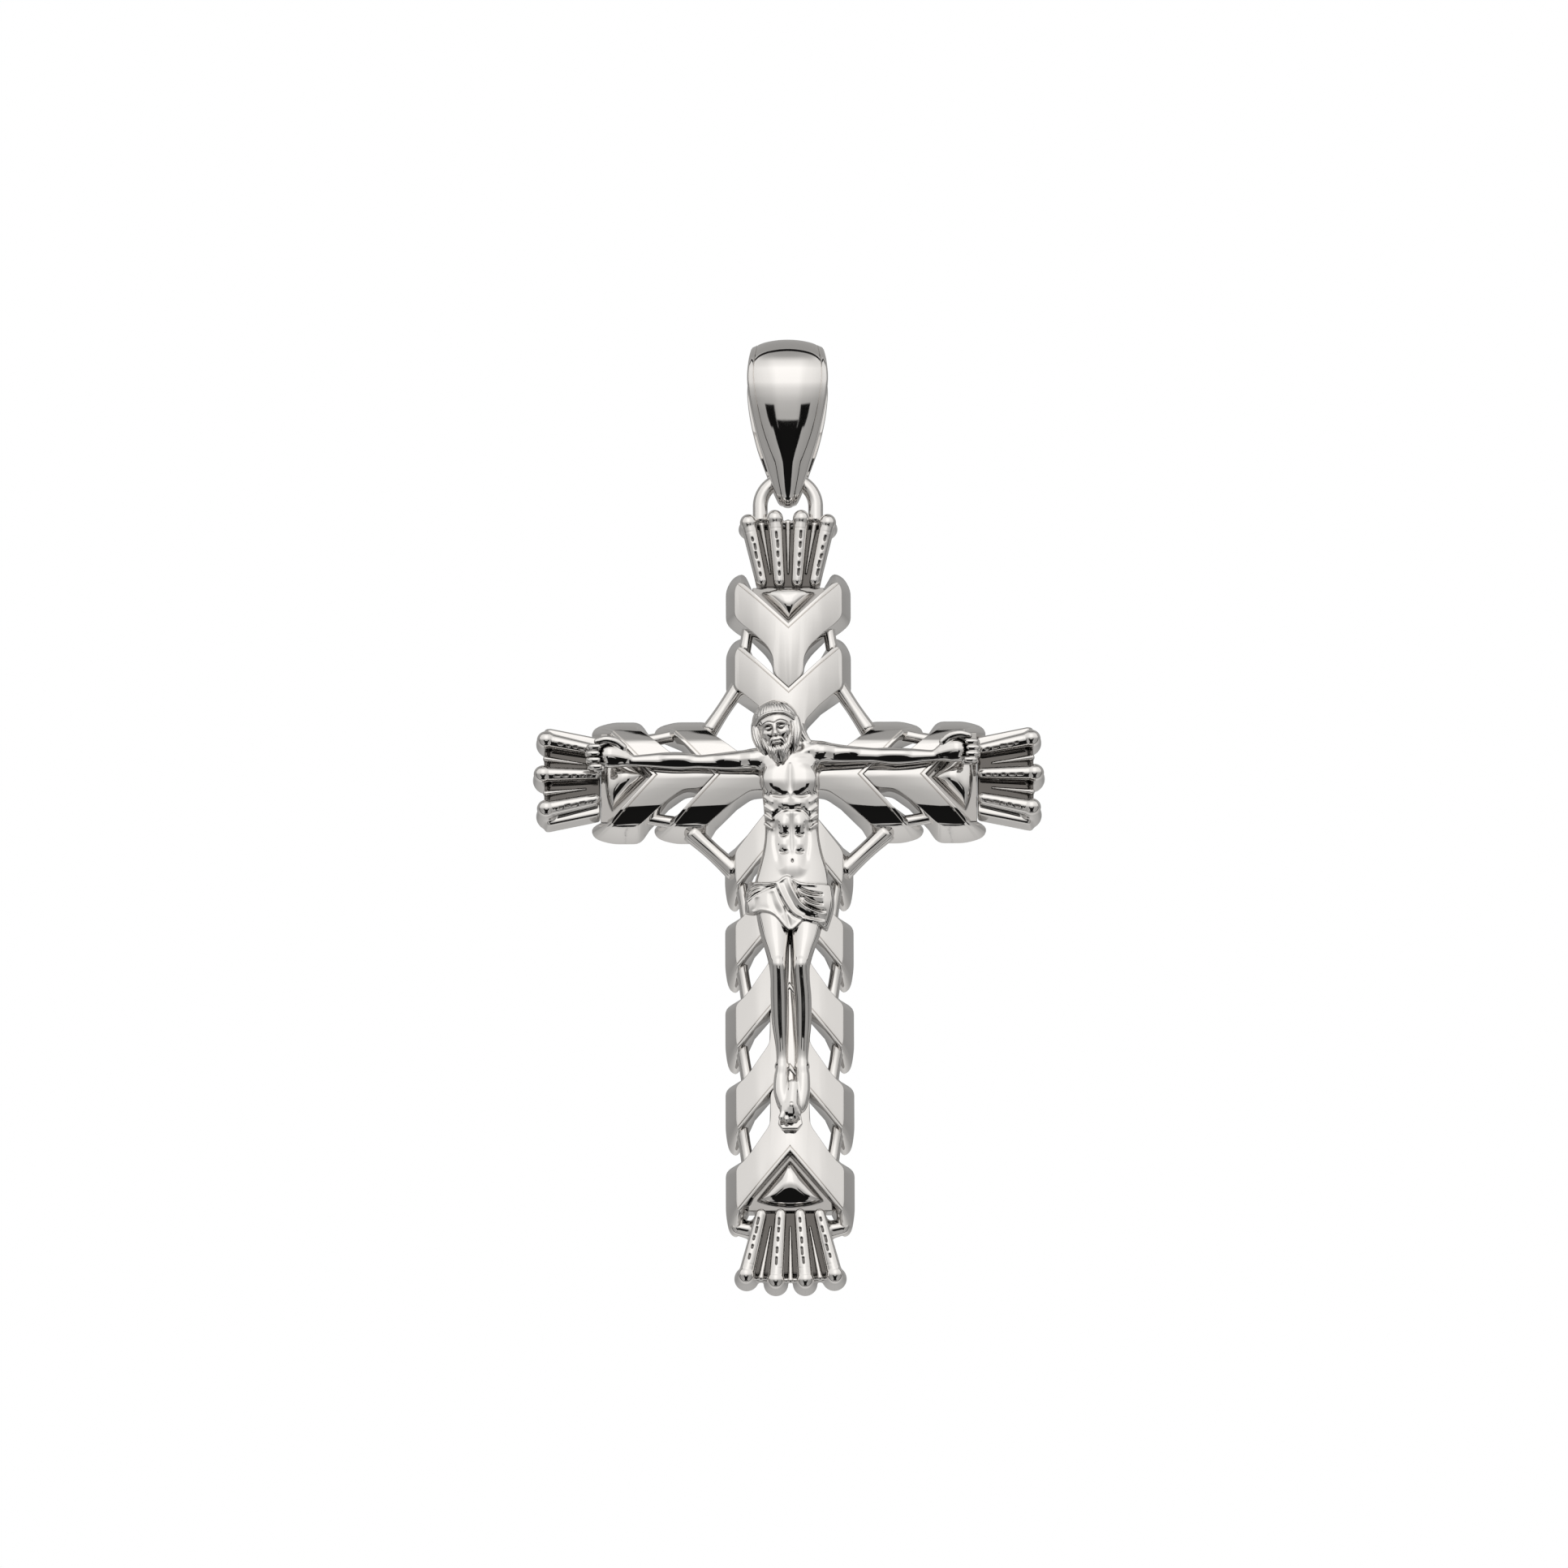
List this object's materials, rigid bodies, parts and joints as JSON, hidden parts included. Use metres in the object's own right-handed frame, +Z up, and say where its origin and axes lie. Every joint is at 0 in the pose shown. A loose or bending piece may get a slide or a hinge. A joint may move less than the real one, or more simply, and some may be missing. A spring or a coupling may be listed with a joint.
{
  "type": "crucifix pendant",
  "caption": "Polished white-metal crucifix pendant: openwork chevron cross with fluted fan ends, a corpus, and a tapered chain bail that swings in a fixed loop.",
  "frame": {"origin": "the chain seat, the middle of the inside top of the bail, where the chain carries the pendant", "axes": "+Z up along the upright towards the bail's top, -Y towards the viewer of the corpus, +X to that viewer's right"},
  "size_m": [0.0314, 0.007, 0.0598],
  "materials": {
    "polished_metal": "high-polish white metal, alloy unknown"
  },
  "bodies": {
    "bail": {"bail": "polished_metal"},
    "cross": {"bottom_bridge_1_left": "polished_metal", "bottom_bridge_1_right": "polished_metal", "bottom_bridge_2_left": "polished_metal", "bottom_bridge_2_right": "polished_metal", "bottom_bridge_3_left": "polished_metal", "bottom_bridge_3_right": "polished_metal", "bottom_bridge_4_left": "polished_metal", "bottom_bridge_4_right": "polished_metal", "bottom_chevron_1": "polished_metal", "bottom_chevron_2": "polished_metal", "bottom_chevron_3": "polished_metal", "bottom_chevron_4": "polished_metal", "bottom_chevron_5": "polished_metal", "bottom_keystone": "polished_metal", "bottom_terminal": "polished_metal", "corpus": "polished_metal", "foot_rest": "polished_metal", "hanging_loop": "polished_metal", "left_bridge_1_left": "polished_metal", "left_bridge_1_right": "polished_metal", "left_chevron_1": "polished_metal", "left_chevron_2": "polished_metal", "left_keystone": "polished_metal", "left_terminal": "polished_metal", "lower_left_corner_strut": "polished_metal", "lower_right_corner_strut": "polished_metal", "right_bridge_1_left": "polished_metal", "right_bridge_1_right": "polished_metal", "right_chevron_1": "polished_metal", "right_chevron_2": "polished_metal", "right_keystone": "polished_metal", "right_terminal": "polished_metal", "top_bridge_1_left": "polished_metal", "top_bridge_1_right": "polished_metal", "top_chevron_1": "polished_metal", "top_chevron_2": "polished_metal", "top_keystone": "polished_metal", "top_terminal": "polished_metal", "upper_left_corner_strut": "polished_metal", "upper_right_corner_strut": "polished_metal"}
  },
  "joints": [
    {"name": "bail_swing", "type": "hinge", "parent": "bail", "child": "cross", "pos_m": [0, 0, -0.00824], "axis": [1, 0, 0], "range_deg": [-80, 80]}
  ]
}
